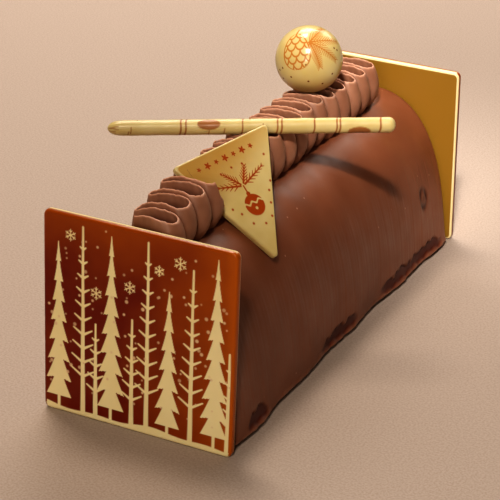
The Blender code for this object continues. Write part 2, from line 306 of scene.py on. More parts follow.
def bed_place(u, v):
    """The cream under the pockets: a low uneven mound, u along it and v round its section."""
    low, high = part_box("piped_ruffle")
    start, end = low.y / MM + 2.0, high.y / MM - 2.0
    y = start + (end - start) * u
    angle = math.tau * v
    x = 8.2 * np.cos(angle)
    roof = RUFFLE_BED - 0.9 + 0.8 * ripple(y, (11.3, 7.1), 31) - 2.2 * (x / 8.2) ** 2
    floor = log_top(x) - 0.8
    blend = 0.5 + 0.5 * np.sin(angle)
    z = floor + (roof - floor) * blend
    # Painted shade: the whole bed takes the dark pocket colour, standing for the shade deep in the pockets.
    return press_pieces_in(np.stack((x, y, z), axis=1)), {"pocket_shade": np.ones_like(x)}


def press_pieces_in(places):
    """Moves the cream's points out of the ball, the stick and the triangle, which are pressed into it."""
    places = press_ball(places)
    places = press_stick(places)
    return press_triangle(places)


def press_ball(places):
    """Lowers what would stand inside the ball to just under it."""
    aside = np.linalg.norm(places[:, :2] - BALL_CENTRE[:2], axis=1)
    reach = BALL_RADIUS + 0.1
    floor = BALL_CENTRE[2] - np.sqrt(np.clip(reach**2 - aside**2, 0, None))
    covered = (aside < reach) & (places[:, 2] > floor)
    places = places.copy()
    places[covered, 2] = floor[covered]
    return places


def press_stick(places):
    axis = STICK_RIGHT_END - STICK_LEFT_END
    axis = axis / np.linalg.norm(axis)
    along = (places - STICK_LEFT_END) @ axis
    nearest = STICK_LEFT_END + along[:, None] * axis
    away = places - nearest
    flat = away - np.array((0, 0, 1)) * away[:, 2:3]
    aside = np.linalg.norm(flat, axis=1)
    reach = STICK_RADIUS + 0.15
    floor = nearest[:, 2] - np.sqrt(np.clip(reach**2 - aside**2, 0, None))
    covered = (aside < reach) & (places[:, 2] > floor)
    places = places.copy()
    places[covered, 2] = floor[covered]
    return places


def triangle_axes():
    """The triangle's middle, its axis along the upper left edge, the one down to the foot, and its outward normal."""
    middle = (TRIANGLE_LEFT + TRIANGLE_TOP + TRIANGLE_FOOT) / 3
    edge = TRIANGLE_TOP - TRIANGLE_LEFT
    edge = edge / np.linalg.norm(edge)
    down = TRIANGLE_FOOT - middle
    down = down - edge * (down @ edge)
    down = down / np.linalg.norm(down)
    outward = np.cross(down, edge)
    return middle, edge, down, outward


def press_triangle(places):
    middle, edge, down, outward = triangle_axes()
    if outward[2] < 0:
        outward = -outward
    offset = (places - middle) @ outward
    flat = places - offset[:, None] * outward
    inside = np.ones(len(places), bool)
    corners = (TRIANGLE_LEFT, TRIANGLE_TOP, TRIANGLE_FOOT)
    for i, corner in enumerate(corners):
        following, opposite = corners[(i + 1) % 3], corners[(i + 2) % 3]
        inward = np.cross(outward, following - corner)
        inward = inward / np.linalg.norm(inward)
        inward = inward * np.sign((opposite - corner) @ inward)
        inside &= (flat - corner) @ inward > -0.3
    border_start = TRIANGLE_LEFT + 0.1 * (TRIANGLE_TOP - TRIANGLE_LEFT)
    border_end = TRIANGLE_LEFT + 0.35 * (TRIANGLE_FOOT - TRIANGLE_LEFT)
    across = np.cross(outward, border_end - border_start)
    across = across / np.linalg.norm(across)
    across = across * np.sign((TRIANGLE_FOOT - border_start) @ across)
    beyond = (flat - border_start) @ across > 0
    reach = TRIANGLE_THICKNESS / 2 + 0.15
    behind = inside & beyond & (offset > -reach) & (offset < 20)
    in_slab = inside & ~beyond & (np.abs(offset) < reach)
    target = np.where(behind, -reach, offset)
    target = np.where(in_slab, np.where(offset > -0.6, reach, -reach), target)
    return places + (target - offset)[:, None] * outward


def make_ruffle():
    cream = whipped_chocolate_cream()
    ribbon = woven_shape(RUFFLE_LOOPS * 64, 34, ribbon_place)
    finish_piece("ruffle_ribbon", ribbon, cream, "piped_ruffle")
    bed = woven_shape(300, 26, bed_place)
    finish_piece("ruffle_bed", bed, cream, "piped_ruffle")


# ---------------------------------------------------------------- prints, worked out in millimetres on a flat face

def segment_distance(a, b, start, end):
    """Distance from each point (a, b) to a straight stroke, and the share of the stroke nearest to it."""
    run = np.subtract(end, start)
    share = np.clip(((a - start[0]) * run[0] + (b - start[1]) * run[1]) / (run @ run), 0, 1)
    return np.hypot(a - start[0] - share * run[0], b - start[1] - share * run[1]), share


def stroke(a, b, start, end, width, taper=0.4, soft=0.25):
    """0 to 1 inside a straight stroke that narrows to this share of its width at the end."""
    distance, share = segment_distance(a, b, start, end)
    half = width / 2 * (1 - (1 - taper) * share)
    return 1 - smoothstep(half - soft / 2, half + soft / 2, distance)


def disc(a, b, middle, radius, soft=0.3):
    return 1 - smoothstep(radius - soft / 2, radius + soft / 2, np.hypot(a - middle[0], b - middle[1]))


def leafy_fir(a, b, foot, height, width, tiers):
    """A slender fir as a full silhouette: down-swept tiers that narrow to the tip, on a short trunk."""
    x, rise = np.abs(a - foot[0]), (b - foot[1]) / height
    crown = np.clip((rise - 0.06) / 0.94, 0, 1)
    tier = np.mod(crown * tiers + 0.35 * x / width, 1.0)
    half = width / 2 * (1 - crown) ** 0.85 * (1.0 - 0.62 * tier) + 0.15
    boughs = (1 - smoothstep(half - 0.15, half + 0.15, x)) * (rise > 0.06) * (rise < 1)
    trunk = (1 - smoothstep(0.55, 0.85, x)) * (rise > -0.02) * (rise < 0.12)
    return np.maximum(boughs, trunk)


def drawn_fir(a, b, foot, height, width, boughs):
    """A fir drawn in thin strokes: a straight stem with paired boughs that sweep up."""
    found = stroke(a, b, foot, (foot[0], foot[1] + height), 2.2, 0.4)
    for i in range(boughs):
        share = (i + 1) / (boughs + 1)
        level = foot[1] + height * (0.12 + 0.84 * share)
        reach = width / 2 * (1 - share) ** 0.8 + 0.5
        for side in (-1, 1):
            tip = (foot[0] + side * reach, level + reach * 0.62)
            found = np.maximum(found, stroke(a, b, (foot[0], level), tip, 1.3, 0.5))
    return found


def snowflake(a, b, middle, radius, width=0.5):
    """A six-armed snowflake with one pair of barbs on each arm."""
    found = np.zeros_like(a)
    for k in range(6):
        angle = math.tau * k / 6 + math.pi / 2
        tip = (middle[0] + radius * math.cos(angle), middle[1] + radius * math.sin(angle))
        found = np.maximum(found, stroke(a, b, middle, tip, width, 0.8))
        knee = (middle[0] + 0.58 * radius * math.cos(angle), middle[1] + 0.58 * radius * math.sin(angle))
        for bend in (-1, 1):
            turn = angle + bend * math.radians(52)
            barb = (knee[0] + 0.34 * radius * math.cos(turn), knee[1] + 0.34 * radius * math.sin(turn))
            found = np.maximum(found, stroke(a, b, knee, barb, width * 0.9, 0.7))
    return found


def star(a, b, middle, radius, points=5):
    """A plain star."""
    x, y = a - middle[0], b - middle[1]
    angle = np.arctan2(x, y) * points / math.tau
    fold = np.abs(angle - np.round(angle)) * 2
    reach = radius * (1 - 0.58 * fold)
    return 1 - smoothstep(reach - 0.12, reach + 0.12, np.hypot(x, y))


def winter_wood(a, b):
    """Pale motifs of the end tiles' print: tall firs on a snowy strip under falling snow. b counts up from the foot."""
    full_firs = ((-35.5, 72, 12.5, 8), (-11.6, 79, 13.0, 9), (14.0, 62, 12.0, 7), (34.6, 80, 13.0, 9))
    thin_firs = ((-24.4, 80, 10.5, 10), (-18.6, 40, 8.0, 5), (-2.2, 46, 9.0, 6), (4.6, 80, 10.0, 10),
                 (24.2, 73, 10.5, 9), (40.6, 42, 4.5, 5))
    snow = 3.0 + 0.7 * np.sin(a / 9.5 + 0.6) + 0.5 * np.sin(a / 4.1)
    found = 1 - smoothstep(snow - 0.2, snow + 0.2, b)
    for x, height, width, tiers in full_firs:
        found = np.maximum(found, leafy_fir(a, b, (x, 2.6), height, width, tiers))
    for x, height, width, boughs in thin_firs:
        found = np.maximum(found, drawn_fir(a, b, (x, 2.6), height, width, boughs))
    for x, y, radius in ((-3.4, 62, 2.6), (18.4, 77, 2.8), (-18.4, 56, 2.6), (9.4, 72, 2.2), (-30.0, 78, 2.4)):
        found = np.maximum(found, snowflake(a, b, (x, y), radius))
    return found


def falling_snow(a, b):
    """Soft round flakes of several sizes, fainter than the rest of the print."""
    dice = np.random.default_rng(8)
    found = np.zeros_like(a)
    for _ in range(95):
        middle = dice.uniform((-41, 7), (41, 84))
        radius = dice.choice((0.4, 0.55, 0.75), p=(0.4, 0.38, 0.22))
        strength = dice.uniform(0.55, 1.0)
        found = np.maximum(found, strength * disc(a, b, middle, radius, 0.5))
    return found


def fir_sprig(a, b, start, angle, length, needles, reach, width=0.5):
    """A twig with paired needles that shorten towards its tip."""
    heading = np.array((math.cos(angle), math.sin(angle)))
    tip = np.add(start, heading * length)
    found = stroke(a, b, start, tip, width * 1.5, 0.5)
    for i in range(needles):
        share = (i + 0.6) / needles
        root = np.add(start, heading * length * share)
        for side in (-1, 1):
            turn = angle + side * math.radians(42 - 12 * share)
            long = reach * (1 - 0.55 * share)
            end = root + long * np.array((math.cos(turn), math.sin(turn)))
            found = np.maximum(found, stroke(a, b, root, end, width, 0.45))
    return found


def bauble_print(a, b):
    """Brown motif of the triangle: a bauble hung from two fir twigs, under a row of stars and among dots.

    a runs along the upper left edge and b down towards the foot, both from the triangle's middle.
    """
    knot = (0.5, 1.5)
    bauble = (0.5, 9.6)
    found = disc(a, b, bauble, 4.3)
    found = found * (1 - (1 - smoothstep(0.32, 0.5, np.abs(b - bauble[1] + 1.0 + 0.5 * np.cos(a * 1.9)))))
    found = found * smoothstep(0.5, 0.7, np.hypot(a - bauble[0], b - bauble[1] - 1.4))
    found = np.maximum(found, disc(a, b, (bauble[0], bauble[1] - 4.7), 0.9))
    found = np.maximum(found, stroke(a, b, knot, (bauble[0], bauble[1] - 4.4), 0.6, 1.0))
    for turn, length in ((-163, 12.0), (-17, 12.0), (-128, 7.5), (-52, 7.5)):
        heading = math.radians(turn)
        root = (knot[0] + 1.2 * math.cos(heading), knot[1] + 1.2 * math.sin(heading))
        found = np.maximum(found, fir_sprig(a, b, root, heading, length, 6, 2.9, 0.55))
    for i in range(7):
        found = np.maximum(found, star(a, b, (-13.2 + 4.4 * i, -10.9), 1.7 if i % 2 else 1.2))
    for spot in ((-9.5, 7.6), (9.8, 7.2), (-7.0, 10.6), (7.4, 11.6), (-4.6, 15.6), (4.6, 16.2), (0.4, 17.6), (-12.2, 4.6),
                 (12.6, 4.2), (-5.6, -6.0), (5.4, -6.2), (-16.4, -5.6), (16.6, -5.8), (0.2, -6.6)):
        found = np.maximum(found, disc(a, b, spot, 0.5, 0.35))
    return found


def cone_print(a, b):
    """A pine cone in fine lines: rows of rounded scales that overlap inside a tapering oval."""
    half = 4.7 * np.sqrt(np.clip(1 - (b / 6.6) ** 2, 0, 1)) * (1 - 0.035 * b) + 0.01
    inside = np.abs(a) < half
    found = 1 - smoothstep(0.14, 0.34, np.abs(np.abs(a) - half))
    found = found * (np.abs(b) < 6.5)
    scale_height, scale_width = 2.2, 3.1
    for row in range(-3, 4):
        level = row * scale_height
        shift = 0.5 * scale_width if row % 2 else 0.0
        for column in range(-2, 3):
            distance = np.hypot((a - column * scale_width - shift) / 1.65, (b - level) / 2.2)
            arc = (1 - smoothstep(0.09, 0.2, np.abs(distance - 0.94))) * (b < level + 0.3)
            found = np.maximum(found, arc * inside)
    return np.maximum(found, stroke(a, b, (0, 6.4), (0.6, 8.6), 0.7, 0.7))


def sprig_print(a, b):
    """A fan of fir twigs in fine lines, as if hung from one point."""
    found = np.zeros_like(a)
    for turn, length in ((28, 10.5), (-8, 12.0), (-44, 11.5), (-80, 9.5)):
        found = np.maximum(found, fir_sprig(a, b, (-5.5, 4.5), math.radians(turn), length, 12, 3.6, 0.34))
    return found


# ---------------------------------------------------------------- the printed tiles

def tile_shape():
    """A square tablet about the origin in millimetres, its printed face towards -Y and cut into a fine grid."""
    shape = bmesh.new()
    bmesh.ops.create_cube(shape, size=1.0)
    bmesh.ops.scale(shape, vec=(TILE_WIDTH, TILE_THICKNESS, TILE_HEIGHT), verts=shape.verts)
    upright = [edge for edge in shape.edges if abs(edge.verts[0].co.y - edge.verts[1].co.y) > 1]
    bmesh.ops.bevel(
        shape, geom=upright, offset=TILE_CORNER, segments=5, profile=0.5, affect="EDGES", material=-1)
    rims = [edge for edge in shape.edges if abs(edge.verts[0].co.y - edge.verts[1].co.y) < 0.01]
    bmesh.ops.bevel(
        shape, geom=rims, offset=TILE_EDGE, segments=4, profile=0.5, affect="EDGES", material=-1)
    return shape


def make_tile(name, node, lean, outward, material):
    """An end tile at its node's place; outward is -1 where the printed face looks towards -Y, else 1."""
    low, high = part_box(node)
    shape = grid_tile(outward)
    bmesh.ops.rotate(shape, cent=(0, 0, 0), matrix=Matrix.Rotation(lean, 3, "X"), verts=shape.verts)
    bmesh.ops.scale(shape, vec=(MM, MM, MM), verts=shape.verts)
    bmesh.ops.translate(shape, vec=(low + high) / 2, verts=shape.verts)
    bmesh.ops.recalc_face_normals(shape, faces=shape.faces)
    return finish_piece(name, shape, material, node, 40)


def grid_tile(outward):
    """The tablet with its print painted on the points of a fine grid."""
    shape = tile_shape()
    front = min(shape.faces, key=lambda face: face.calc_center_median().y)
    flat_y = front.calc_center_median().y
    bmesh.ops.delete(shape, geom=[front], context="FACES_ONLY")
    half_x, half_z = TILE_WIDTH / 2 - TILE_EDGE, TILE_HEIGHT / 2 - TILE_EDGE
    columns, rows = round(2 * half_x / TILE_PRINT_STEP), round(2 * half_z / TILE_PRINT_STEP)
    made = bmesh.ops.create_grid(shape, x_segments=columns, y_segments=rows, size=0.5)["verts"]
    corner = TILE_CORNER - TILE_EDGE
    for point in made:
        x, z = point.co.x * 2 * half_x, point.co.y * 2 * half_z
        over_x, over_z = abs(x) - (half_x - corner), abs(z) - (half_z - corner)
        if over_x > 0 and over_z > 0:
            shrink = max(over_x, over_z) / math.hypot(over_x, over_z)
            x = math.copysign(half_x - corner + over_x * shrink, x)
            z = math.copysign(half_z - corner + over_z * shrink, z)
        point.co = (x, flat_y, z)
    where = np.array([point.co for point in shape.verts])
    a, b = where[:, 0], where[:, 2] + TILE_HEIGHT / 2
    on_face = where[:, 1] < flat_y + 0.02
    rim_side = (np.abs(a) > half_x) & (where[:, 1] < 0.9)
    rim_top = (b > TILE_HEIGHT - TILE_EDGE) & (where[:, 1] < -0.6)
    ink = np.where(on_face, 1 - winter_wood(a, b), 0.0)
    snow = np.where(on_face, falling_snow(a, b), 0.0)
    ink = np.where(rim_side | rim_top, 1.0, ink)
    # Painted shade: the tile's inner face is marked for a darker ochre, as that side faces away from the light from
    # above and behind.
    shaded_inner = where[:, 1] > TILE_THICKNESS / 2 - 0.02
    for name, values in (("ink", ink), ("snow", snow), ("across", a / TILE_WIDTH), ("rise", b / TILE_HEIGHT),
                         ("shaded_inner", shaded_inner)):
        layer = shape.verts.layers.float.new(name)
        for point, value in zip(shape.verts, values):
            point[layer] = value
    if outward > 0:
        bmesh.ops.rotate(shape, cent=(0, 0, 0), matrix=Matrix.Rotation(math.pi, 3, "Z"), verts=shape.verts)
    return shape


# ---------------------------------------------------------------- ball, stick and triangle

def make_ball():
    shape = bmesh.new()
    bmesh.ops.create_uvsphere(shape, u_segments=420, v_segments=210, radius=BALL_RADIUS)
    where = np.array([point.co for point in shape.verts]) / BALL_RADIUS
    ink = np.zeros(len(where))
    to_camera = np.array((0.403, -0.809, 0.428))
    right = np.array((0.891, 0.454, 0.020))
    for facing, motifs in ((1, ((-0.42, 0.16, cone_print, 8), (0.52, 0.16, sprig_print, 12))),
                           (-1, ((0.45, 0.1, cone_print, -12), (-0.5, 0.12, sprig_print, 10)))):
        for aside, raised, motif, turn in motifs:
            up = np.cross(right * facing, -to_camera * facing)
            ahead = to_camera * facing * math.sqrt(1 - aside**2 - raised**2)
            centre = right * facing * aside + up * raised + ahead
            centre = centre / np.linalg.norm(centre)
            local_right = np.cross(up, centre)
            local_right = local_right / np.linalg.norm(local_right)
            local_up = np.cross(centre, local_right)
            arc = np.arccos(np.clip(where @ centre, -1, 1)) * BALL_RADIUS
            spread = np.stack((where @ local_right, where @ local_up), axis=1)
            spread = spread / np.maximum(np.linalg.norm(spread, axis=1, keepdims=True), 1e-6) * arc[:, None]
            swing = math.radians(turn)
            a = spread[:, 0] * math.cos(swing) + spread[:, 1] * math.sin(swing)
            b = -spread[:, 0] * math.sin(swing) + spread[:, 1] * math.cos(swing)
            ink = np.maximum(ink, np.where(arc < 17, motif(a / 1.3, b / 1.3), 0))
    dice = np.random.default_rng(12)
    dots = np.zeros(len(where))
    for _ in range(34):
        spot = dice.normal(size=3)
        spot = spot / np.linalg.norm(spot)
        arc = np.arccos(np.clip(where @ spot, -1, 1)) * BALL_RADIUS
        dots = np.maximum(dots, 1 - smoothstep(0.3, 0.6, arc))
    bmesh.ops.scale(shape, vec=(MM, MM, MM), verts=shape.verts)
    bmesh.ops.translate(shape, vec=Vector(BALL_CENTRE) * MM, verts=shape.verts)
    # Painted reflection: the lower half is marked for a warm golden tone that stands for the brown cream reflected in
    # the ball.
    under = smoothstep(0.1, 1.0, -where[:, 2])
    for name, values in (("ink", ink), ("dots", dots * (ink < 0.2)), ("under", under)):
        layer = shape.verts.layers.float.new(name)
        for point, value in zip(shape.verts, values):
            point[layer] = value
    finish_piece("printed_ball", shape, ball_chocolate(), "chocolate_ball")


def stick_place(u, v):
    """A round bar along its axis: u from nose to nose, v round it."""
    length = np.linalg.norm(STICK_RIGHT_END - STICK_LEFT_END)
    nose_left, nose_right = 0.06, 0.05
    left = np.clip(u / nose_left, 0, 1)
    right = np.clip((1 - u) / nose_right, 0, 1)
    middle = np.clip((u - nose_left) / (1 - nose_left - nose_right), 0, 1)
    along = STICK_LEFT_NOSE + (length - STICK_LEFT_NOSE - STICK_RIGHT_NOSE) * middle
    along = np.where(left < 1, STICK_LEFT_NOSE * (1 - np.cos(left * math.pi / 2)), along)
    along = np.where(right < 1, length - STICK_RIGHT_NOSE * (1 - np.cos(right * math.pi / 2)), along)
    radius = STICK_RADIUS * np.sin(np.minimum(left, right) * math.pi / 2)
    angle = math.tau * v
    wobble = 1 - 0.012 * (1 + ripple(along, (17, 9.1), 41)) - 0.01 * (1 + np.sin(2 * angle + along / 19))
    axis = (STICK_RIGHT_END - STICK_LEFT_END) / length
    side = np.cross((0, 0, 1), axis)
    side = side / np.linalg.norm(side)
    up = np.cross(axis, side)
    ring = np.cos(angle)[:, None] * up + np.sin(angle)[:, None] * side
    places = STICK_LEFT_END + along[:, None] * axis + (radius * wobble)[:, None] * ring
    return places, {"ink": stick_print(along, angle)}


def stick_print(along, angle):
    """Thin brown rings, ticks and oval knots, as on a pale twig. Angle 0 is on top, a quarter turn is the back."""
    found = np.zeros_like(along)
    sway = 0.35 * np.sin(angle + 1.0) + 0.15 * np.sin(3 * angle)
    for place, width in ((30.3, 0.55), (32.4, 0.5), (56.0, 0.35), (70.6, 0.5), (72.4, 0.55), (86.1, 0.5), (95.5, 0.5),
                         (96.9, 0.55), (113.9, 0.65)):
        found = np.maximum(found, 1 - smoothstep(width * 0.4, width * 0.4 + 0.3, np.abs(along - place - sway)))
    round_turn = np.mod(angle + math.pi, math.tau) - math.pi
    for place, turn, half, tall in ((41.9, -0.8, 4.9, 0.8), (105.0, -2.15, 4.9, 0.75), (52.0, 1.9, 3.4, 0.6),
                                    (84.0, 2.1, 4.0, 0.6)):
        apart = np.mod(round_turn - turn + math.pi, math.tau) - math.pi
        oval = np.hypot((along - place) / half, apart / tall)
        found = np.maximum(found, 1 - smoothstep(0.9, 1.06, oval))
    dice = np.random.default_rng(17)
    for _ in range(16):
        place, turn = dice.uniform(8, 118), dice.uniform(-math.pi, math.pi)
        span = dice.uniform(0.3, 0.7)
        apart = np.abs(np.mod(round_turn - turn + math.pi, math.tau) - math.pi)
        tick = (1 - smoothstep(0.16, 0.34, np.abs(along - place - sway))) * (apart < span)
        found = np.maximum(found, 0.8 * tick)
    for turn, reach in ((-1.2, 4.6), (-1.9, 3.4), (1.5, 4.0)):
        apart = np.abs(np.mod(round_turn - turn + math.pi, math.tau) - math.pi)
        crack = (1 - smoothstep(0.05, 0.12, np.abs(apart - 0.05 * along))) * (along < reach)
        found = np.maximum(found, 0.7 * crack)
    return found


def make_stick():
    shape = woven_shape(520, 44, stick_place)
    finish_piece("printed_stick", shape, stick_chocolate(), "chocolate_stick")


def triangle_outline(radius, steps):
    """The triangle's outline with rounded corners as points in the plane (a, b) about its middle."""
    middle, edge, down, _ = triangle_axes()
    corners = [np.array(((corner - middle) @ edge, (corner - middle) @ down))
               for corner in (TRIANGLE_LEFT, TRIANGLE_FOOT, TRIANGLE_TOP)]
    outline = []
    for i, corner in enumerate(corners):
        before = corners[i - 1] - corner
        after = corners[(i + 1) % 3] - corner
        before, after = before / np.linalg.norm(before), after / np.linalg.norm(after)
        half = math.acos(np.clip(before @ after, -1, 1)) / 2
        centre = corner + (before + after) / np.linalg.norm(before + after) * radius / math.sin(half)
        start = corner + before * radius / math.tan(half) - centre
        end = corner + after * radius / math.tan(half) - centre
        sweep = math.acos(np.clip(start @ end / radius**2, -1, 1))
        for k in range(steps + 1):
            share = k / steps
            arm = (start * math.sin((1 - share) * sweep) + end * math.sin(share * sweep)) / math.sin(sweep)
            outline.append(centre + arm)
    return np.array(outline)


def triangle_place(u, v):
    """The triangle's skin: u round its outline, v from the middle of the printed face over the edge to the back."""
    outline = triangle_outline(TRIANGLE_CORNER, 8)
    closed = np.vstack((outline, outline[:1]))
    lengths = np.concatenate(([0], np.cumsum(np.linalg.norm(np.diff(closed, axis=0), axis=1))))
    where = u * lengths[-1]
    a = np.interp(where, lengths, closed[:, 0])
    b = np.interp(where, lengths, closed[:, 1])
    half = TRIANGLE_THICKNESS / 2
    face_share, edge_share = 0.62, 0.12
    on_face = v < face_share
    on_edge = (v >= face_share) & (v < face_share + edge_share)
    rounding = np.clip((v - face_share) / edge_share, 0, 1)
    back = np.clip((v - face_share - edge_share) / (1 - face_share - edge_share), 0, 1)
    inradius = 14.9
    flat = 1 - TRIANGLE_EDGE / inradius
    angle = rounding * math.pi
    scale = np.where(on_face, flat * v / face_share, flat * (1 - back))
    corner = TRIANGLE_EDGE * np.sin(angle)
    scale = np.where(on_edge, flat + corner / inradius, scale)
    level = np.where(on_face, half, -half)
    bend = np.where(rounding < 0.5, half - TRIANGLE_EDGE * (1 - np.cos(angle)), -half + TRIANGLE_EDGE * (1 + np.cos(angle)))
    level = np.where(on_edge, bend, level)
    a, b = a * scale, b * scale
    middle, edge, down, outward = triangle_axes()
    if outward[2] < 0:
        outward = -outward
    places = middle + a[:, None] * edge + b[:, None] * down + level[:, None] * outward
    ink = np.where(on_face, bauble_print(a / 1.1, b / 1.1), 0.0)
    # Painted shade: the printed face darkens to ochre towards its upper left edge, where it is shaded.
    depth = 0.75 * (1 - smoothstep(-16, 6, b + 0.35 * a)) * on_face * (1 - ink)
    return places, {"ink": ink, "depth": depth}


def make_triangle():
    shape = woven_shape(540, 130, triangle_place)
    finish_piece("printed_triangle", shape, triangle_chocolate(), "triangle_plaque", 40)


# ---------------------------------------------------------------- materials

def linear(hex_colour, alpha=1.0):
    """An sRGB hex value as linear red, green, blue and alpha."""
    parts = [int(hex_colour[i:i + 2], 16) / 255 for i in (1, 3, 5)]
    return (*(part / 12.92 if part <= 0.04045 else ((part + 0.055) / 1.055) ** 2.4 for part in parts), alpha)


def add(tree, kind, inputs=None, **settings):
    """A node with these settings. inputs maps a socket's name or number to a value or to another node's output."""
    made = tree.nodes.new(kind)
    for name, value in settings.items():
        setattr(made, name, value)
    for socket, value in (inputs or {}).items():
        if isinstance(value, bpy.types.NodeSocket):
            tree.links.new(value, made.inputs[socket])
        else:
            made.inputs[socket].default_value = value
    return made


def new_material(name):
    material = bpy.data.materials.new(name)
    material.use_nodes = True
    tree = material.node_tree
    return material, tree, tree.nodes["Principled BSDF"]


def value_of(tree, name):
    """A painted attribute's value."""
    return add(tree, "ShaderNodeAttribute", attribute_name=name).outputs["Fac"]


def noise(tree, size_mm, detail=2.0, stretch=(1, 1, 1)):
    """Noise on the object's own coordinates whose blotches are about this size."""
    place = add(tree, "ShaderNodeTexCoord").outputs["Object"]
    scaled = add(tree, "ShaderNodeMapping", {"Vector": place, "Scale": [1 / (size_mm * MM * part) for part in stretch]})
    return add(tree, "ShaderNodeTexNoise", {"Vector": scaled.outputs[0], "Scale": 1.0, "Detail": detail})


def mixed(tree, share, first, second):
    """Two colours mixed by a share."""
    mix = add(tree, "ShaderNodeMix", {"Factor": share, 6: first, 7: second}, data_type="RGBA")
    return mix.outputs[2]


def milk_chocolate_glaze():
    """Poured milk chocolate glaze: satin, faintly uneven, brushed upright on its flanks, with a few tiny bubbles."""
    material, tree, shader = new_material("milk_chocolate_glaze")
    blotch = add(tree, "ShaderNodeMapRange", {0: noise(tree, 26).outputs["Fac"], 1: 0.35, 2: 0.65})
    base = mixed(tree, blotch.outputs[0], linear("#814f35"), linear("#8d583d"))
    # Painted shade: the hollows above the foot's lip take a darker, redder brown, partly the glaze's own deeper tone
    # and partly shade in the recess.
    shaded_hollow = mixed(tree, value_of(tree, "shaded_hollow"), base, linear("#561c0a"))
    scar = mixed(tree, value_of(tree, "scar"), shaded_hollow, linear("#4a2418"))
    lip = add(tree, "ShaderNodeMath", {0: value_of(tree, "lip"), 1: 0.25}, operation="MULTIPLY")
    colour = mixed(tree, lip.outputs[0], scar, linear("#b98a74"))
    place = add(tree, "ShaderNodeTexCoord").outputs["Object"]
    cells = add(tree, "ShaderNodeTexVoronoi", {"Vector": place, "Scale": 1 / (7.5 * MM)})
    speck = add(tree, "ShaderNodeMapRange", {0: cells.outputs["Distance"], 1: 0.075, 2: 0.03})
    chosen = add(tree, "ShaderNodeSeparateColor", {0: cells.outputs["Color"]})
    keep = add(tree, "ShaderNodeMath", {0: chosen.outputs[0], 1: 0.4}, operation="GREATER_THAN")
    bubble = add(tree, "ShaderNodeMath", {0: speck.outputs[0], 1: keep.outputs[0]}, operation="MULTIPLY")
    faint = add(tree, "ShaderNodeMath", {0: bubble.outputs[0], 1: 0.8}, operation="MULTIPLY")
    colour = mixed(tree, faint.outputs[0], colour, linear("#c79a86"))
    tree.links.new(colour, shader.inputs["Base Color"])
    rough = add(tree, "ShaderNodeMapRange", {0: noise(tree, 9, 3).outputs["Fac"], 1: 0.3, 2: 0.7, 3: 0.36, 4: 0.48})
    tree.links.new(rough.outputs[0], shader.inputs["Roughness"])
    shader.inputs["IOR"].default_value = 1.5
    shader.inputs["Subsurface Weight"].default_value = 0.08
    shader.inputs["Subsurface Radius"].default_value = (1.0, 0.4, 0.2)
    shader.inputs["Subsurface Scale"].default_value = 1.2 * MM
    streaks = noise(tree, 3.4, 3, (1, 1, 7))
    fine = noise(tree, 0.7, 2)
    height = add(tree, "ShaderNodeMath", {0: streaks.outputs["Fac"], 1: 0.7, 2: fine.outputs["Fac"]},
                 operation="MULTIPLY_ADD")
    bump = add(tree, "ShaderNodeBump", {"Strength": 0.3, "Distance": 0.14 * MM, "Height": height.outputs[0]})
    tree.links.new(bump.outputs[0], shader.inputs["Normal"])
    return material


def whipped_chocolate_cream():
    """Piped milk chocolate cream: satin and smooth where the nozzle dragged it, paler and torn along its thin rims,
    with painted shade deep in its pockets.
    """
    material, tree, shader = new_material("whipped_chocolate_cream")
    blotch = add(tree, "ShaderNodeMapRange", {0: noise(tree, 8).outputs["Fac"], 1: 0.3, 2: 0.7})
    base = mixed(tree, blotch.outputs[0], linear("#986b53"), linear("#a97b62"))
    # Painted shade deep in the pockets and on the bed under them.
    pocket_shade_share = add(tree, "ShaderNodeMath", {0: value_of(tree, "pocket_shade"), 1: 0.85}, operation="MULTIPLY")
    shaded = mixed(tree, pocket_shade_share.outputs[0], base, linear("#54251a"))
    rim = mixed(tree, value_of(tree, "rim"), shaded, linear("#cb9c82"))
    tree.links.new(rim, shader.inputs["Base Color"])
    shader.inputs["Roughness"].default_value = 0.48
    shader.inputs["Subsurface Weight"].default_value = 0.12
    shader.inputs["Subsurface Radius"].default_value = (1.0, 0.45, 0.25)
    shader.inputs["Subsurface Scale"].default_value = 1.5 * MM
    drag = noise(tree, 1.5, 3, (1, 1, 6))
    bump = add(tree, "ShaderNodeBump", {"Strength": 0.35, "Distance": 0.15 * MM, "Height": drag.outputs["Fac"]})
    tree.links.new(bump.outputs[0], shader.inputs["Normal"])
    return material


def white_chocolate(name, ink_colour, ink_strength=1.0):
    """Moulded white chocolate: smooth, faintly glossy and a little see-through, with cocoa butter printed on it."""
    material, tree, shader = new_material(name)
    blotch = add(tree, "ShaderNodeMapRange", {0: noise(tree, 14).outputs["Fac"], 1: 0.3, 2: 0.7})
    cream = mixed(tree, blotch.outputs[0], linear("#cbb67a"), linear("#d6c48e"))
    ink = add(tree, "ShaderNodeMath", {0: value_of(tree, "ink"), 1: ink_strength}, operation="MULTIPLY")
    colour = mixed(tree, ink.outputs[0], cream, linear(ink_colour))
    tree.links.new(colour, shader.inputs["Base Color"])
    shader.inputs["Roughness"].default_value = 0.33
    shader.inputs["Subsurface Weight"].default_value = 0.15
    shader.inputs["Subsurface Radius"].default_value = (1.0, 0.7, 0.35)
    shader.inputs["Subsurface Scale"].default_value = 1.5 * MM
    dimple = noise(tree, 5, 2)
    bump = add(tree, "ShaderNodeBump", {"Strength": 0.15, "Distance": 0.15 * MM, "Height": dimple.outputs["Fac"]})
    tree.links.new(bump.outputs[0], shader.inputs["Normal"])
    return material, tree, shader, colour


